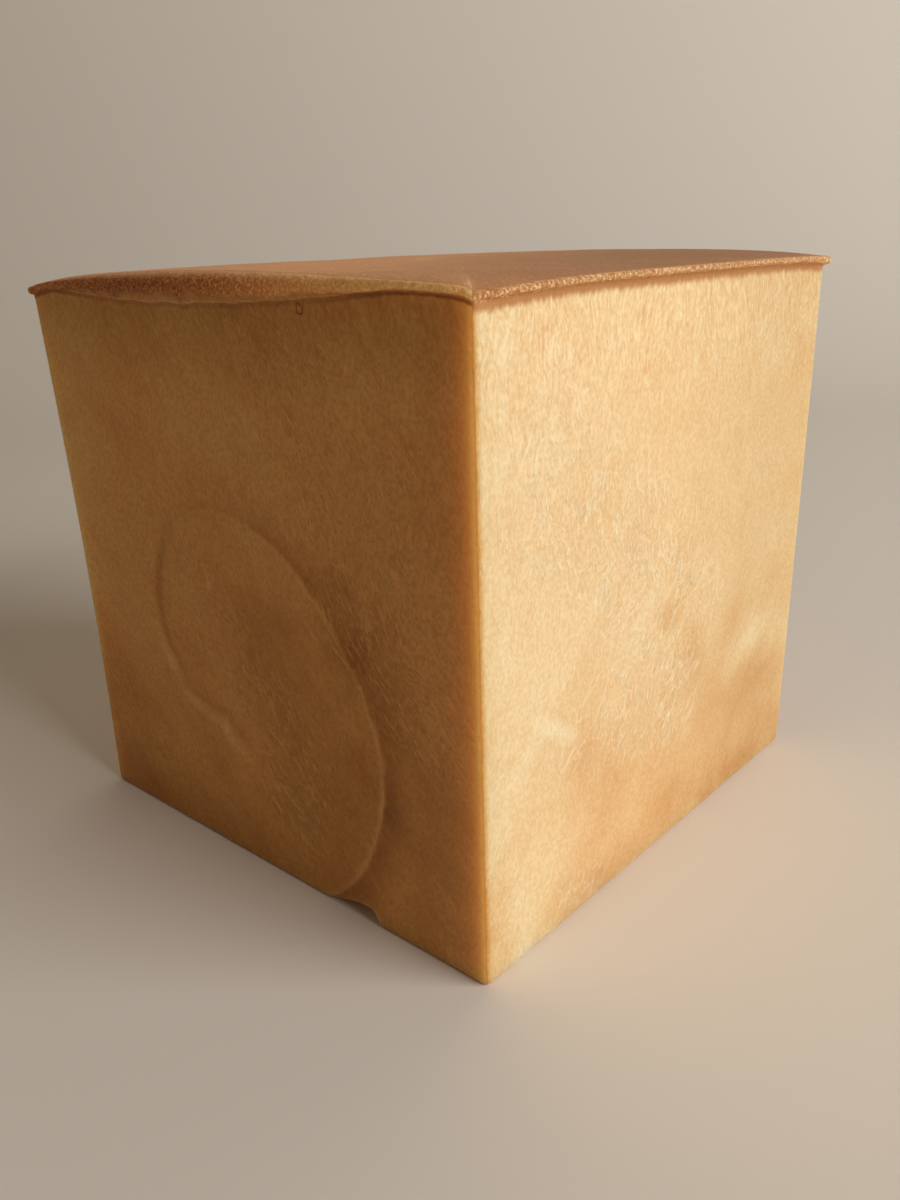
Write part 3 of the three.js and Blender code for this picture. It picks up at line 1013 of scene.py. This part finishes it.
def with_spiral(colour, note):
    """The spiral shows as a crease, a valley with a rim, or a ridge with a foot and a crest, by
    painted shade in crease, valley and foot and a painted highlight on rim and crest.
    """
    outside, from_ridge = note["outside_roll"], note["outside_ridge"]
    crease = abs(outside).between(2.6, 0.1) * note["crease"]
    valley = outside.between(0.1, 0.8) * outside.between(9.0, 0.6) * note["valley"]
    rim = outside.between(-1.3, -0.2) * outside.between(0.5, 0.1) * note["valley"]
    foot = abs(from_ridge + 2.2).between(1.8, 0.3) * note["ridge"]
    crest = abs(from_ridge - 0.8).between(2.6, 0.3) * note["ridge"]
    colour = colour.tinted("low parts of the spiral", crease * 0.65 + valley * 0.6 + foot * 0.4)
    return colour.mixed("high parts of the spiral", crest * 0.22 + rim * 0.1)


def baked_crust():
    material, shade = new_material("baked_crust")
    place = shade.node("TexCoord", output="Object")
    place = shade.node("VectorMath", {"operation": "SCALE"}, {0: place, "Scale": 1 / MM})
    x, _, z = place.parts()
    attributes = ({"attribute_name": name} for name in PAINTED)
    note = {a["attribute_name"]: shade.node("Attribute", a, None, "Fac") for a in attributes}
    on_end, near_edge = note["on_end"], note["near_edge"]
    drifting, straight, leaning, flowing = dough_flow(place, on_end)

    # Broad clouds, blotches with curly borders, fibres and hairs, of deeper and paler crust
    clouds = (drifting.pattern("clouds") - 0.5) * (on_end * 0.5 + 0.6)
    blotches = (flowing.pattern("blotches") - 0.5) * (z.between(78, 38) * 0.5 + 0.55)
    fibres = (leaning.pattern("fibres") - 0.5) * note["strands"]
    hairs = (leaning.pattern("hairs") - 0.5) * z.between(84, 112) * (1 - on_end)
    browned = note["browning"] + clouds + blotches - fibres * 1.1 - hairs * 2.4
    baked = browned * 0.45 + 0.36
    colour = baked.ramp(CRUST_TONES)

    # Fine pores, curls that are pale on one side and have painted shade on the other, light
    # stretch marks and, on the roll's ends, pale specks. On the ends, marks and specks also have a
    # painted highlight.
    pores = place.pattern("pores")
    marked = note["marks"].between(0.0, 1.2)
    folds = flowing.pattern("folds") - 0.5
    curls = abs(folds).between(0.03, 0.0) * marked
    curl_sides = abs(folds + 0.05).between(0.03, 0.0) * marked
    marks = leaning.pattern("stretch marks").between(0.54, 0.68) * marked
    specks = straight.pattern("specks").between(0.56, 0.7) * on_end * (marked * 0.8 + 0.3)
    pale = curls * 0.45 + marks * (on_end * 0.5 + 0.75) + specks * 0.8
    colour = colour.tinted("pores", pores.between(0.62, 0.38) * (on_end * 0.3 + 0.5))
    colour = colour.tinted("brown side of a curl", curl_sides * 0.35)
    colour = colour.mixed("pale marks", pale - pale * on_end)
    colour = colour.mixed("pale marks on an end", pale * on_end)

    # Painted shade makes the roll's ends darker and browner, and the upright edges paler. The ends
    # have a painted glow along the near edge.
    colour = colour.tinted("end", on_end)
    colour = colour.tinted("brown parts of an end", baked.between(0.4, 0.7) * on_end)
    colour = colour.tinted("right of the front", x.between(-10, 45) * (1 - on_end))
    colour = colour.tinted("near an upright edge", near_edge - near_edge * on_end)
    colour = colour.mixed("glow of the near edge", near_edge * on_end)
    colour = colour.tinted("upright edge", near_edge.between(0.7, 1.0))
    colour = with_spiral(colour, note)

    # A ragged band of deeper brown crust and painted shadow under the fin, painted shade under the
    # lip, and a painted highlight on the lip's lower edge
    drips = leaning.pattern("drips") - 0.5
    ragged = note["below_fin"] * (on_end + 1.0) + drips * 1.6
    band = ragged.between(2.4, 1.1) * note["band"]
    crags = place.pattern("crags")
    colour = colour.mixed("band under the fin", band * 0.88)
    colour = colour.tinted("band on an end", band * on_end)
    colour = colour.tinted("shade under the lip", note["below_fin"].between(20, 2) * on_end)
    colour = colour.mixed("torn lip", note["lip_edge"] * crags.between(0.35, 0.6) * 0.5)
    colour = colour.mixed(fin_colour(place, note), note["on_fin"])
    colour = colour.mixed(top_colour(place, pores), note["on_top"])

    # A small burst bubble near the top of the -X face
    between_places = {0: place, 1: BUBBLE}
    from_bubble = place.node("VectorMath", {"operation": "DISTANCE"}, between_places, "Value")
    from_bubble = from_bubble + (pores - 0.5) * 0.9
    colour = colour.tinted("torn skin", abs(from_bubble - BUBBLE_RIM).between(0.4, 0.0) * 0.95)
    hollow = from_bubble.between(1.0, 0.4)

    # Fine relief, in millimetres
    height = pores * 0.1 + fibres * 0.45 + specks * 0.3 + marks * 0.35
    height = height - hollow * 0.3 + crags * note["on_fin"] * 0.4
    bump = shade.node("Bump", None, {"Strength": 1.0, "Distance": MM, "Height": height})
    finish = {
        "Base Color": colour,
        "Roughness": CRUST_ROUGHNESS,
        "Normal": bump,
        "Specular IOR Level": CRUST_SHINE,
        "Subsurface Weight": LIGHT_THROUGH,
        "Subsurface Radius": LIGHT_SHARES,
        "Subsurface Scale": LIGHT_REACH,
    }
    surface = shade.node("BsdfPrincipled", None, finish)
    shade.node("OutputMaterial", None, {"Surface": surface})
    return material


def pale_floor():
    material, shade = new_material("pale_floor")
    finish = {"Base Color": screen_tone(*TONES["floor"]), "Roughness": FLOOR_ROUGHNESS}
    surface = shade.node("BsdfPrincipled", None, finish)
    shade.node("OutputMaterial", None, {"Surface": surface})
    return material


def lay_floor():
    """A pale sheet that lies under the loaf and sweeps up behind it, seen from the camera."""
    bm = bmesh.new()
    bmesh.ops.create_grid(bm, x_segments=SHEET_CELLS[0], y_segments=SHEET_CELLS[1], size=1)
    for vert in bm.verts:
        across = vert.co.x * SHEET_HALF_WIDTH
        along = mix(SHEET_FRONT, SHEET_BACK, (vert.co.y + 1) / 2)
        turn = clamp((along - SWEEP_START) / SWEEP_RADIUS, 0.0, math.pi / 2)
        climb = max(0.0, along - SWEEP_START - SWEEP_RADIUS * math.pi / 2)
        if turn > 0:
            along = SWEEP_START + SWEEP_RADIUS * math.sin(turn)
        vert.co = (across, along, SWEEP_RADIUS * (1 - math.cos(turn)) + climb)
    turned = Matrix.Rotation(math.radians(CAMERA_AZIMUTH), 3, "Z")
    bmesh.ops.rotate(bm, verts=bm.verts, matrix=turned)
    for face in bm.faces:
        face.smooth = True
    add_piece("floor", bm, pale_floor())


def way_out(azimuth, elevation):
    """Direction from the loaf to a thing that faces it, from angles in radians."""
    level = math.cos(elevation)
    return Vector((math.sin(azimuth) * level, -math.cos(azimuth) * level, math.sin(elevation)))


def hang_softbox():
    light = bpy.data.lights.new("softbox", "AREA")
    light.shape = "RECTANGLE"
    light.size, light.size_y = SOFTBOX_SIZE
    light.energy = SOFTBOX_POWER
    light.color = SOFTBOX_COLOUR
    holder = bpy.data.objects.new("softbox", light)
    back = way_out(math.radians(SOFTBOX_AZIMUTH), math.radians(SOFTBOX_ELEVATION))
    holder.location = Vector(LOAF_MIDDLE) + back * SOFTBOX_DISTANCE
    holder.rotation_euler = back.to_track_quat("Z", "Y").to_euler()
    bpy.context.scene.collection.objects.link(holder)


def light_room():
    hang_softbox()
    world = bpy.data.worlds.new("room")
    world.use_nodes = True
    background = world.node_tree.nodes["Background"]
    background.inputs["Color"].default_value = ROOM_COLOUR
    background.inputs["Strength"].default_value = ROOM_STRENGTH
    bpy.context.scene.world = world


def place_camera():
    """The camera stands as it did for the photograph."""
    lens = bpy.data.cameras.new("camera")
    lens.sensor_width = CAMERA_SENSOR
    lens.lens = CAMERA_LENS
    angles = (CAMERA_AZIMUTH, CAMERA_ELEVATION, CAMERA_ROLL)
    azimuth, elevation, roll = (math.radians(angle) for angle in angles)
    back = way_out(azimuth, elevation)
    right = Vector((math.cos(azimuth), math.sin(azimuth), 0))
    up = back.cross(right)
    turned_right = right * math.cos(roll) + up * math.sin(roll)
    turned_up = up * math.cos(roll) - right * math.sin(roll)
    turned = Matrix((turned_right, turned_up, back)).transposed()
    camera = bpy.data.objects.new("camera", lens)
    camera.matrix_world = Matrix.Translation(CAMERA_PLACE) @ turned.to_4x4()
    bpy.context.scene.collection.objects.link(camera)
    bpy.context.scene.camera = camera


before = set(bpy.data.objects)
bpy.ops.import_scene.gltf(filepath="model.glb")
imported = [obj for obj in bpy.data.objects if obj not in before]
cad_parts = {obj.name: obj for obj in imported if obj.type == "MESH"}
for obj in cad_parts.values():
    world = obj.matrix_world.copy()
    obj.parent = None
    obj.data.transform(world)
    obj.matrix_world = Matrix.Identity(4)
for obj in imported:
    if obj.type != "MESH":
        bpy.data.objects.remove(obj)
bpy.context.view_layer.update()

loaf = add_piece("loaf", shape_loaf(), baked_crust())
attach(loaf, "root")
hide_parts("shokupan_loaf")

lay_floor()
light_room()
place_camera()
bpy.context.scene.view_settings.view_transform = "Standard"
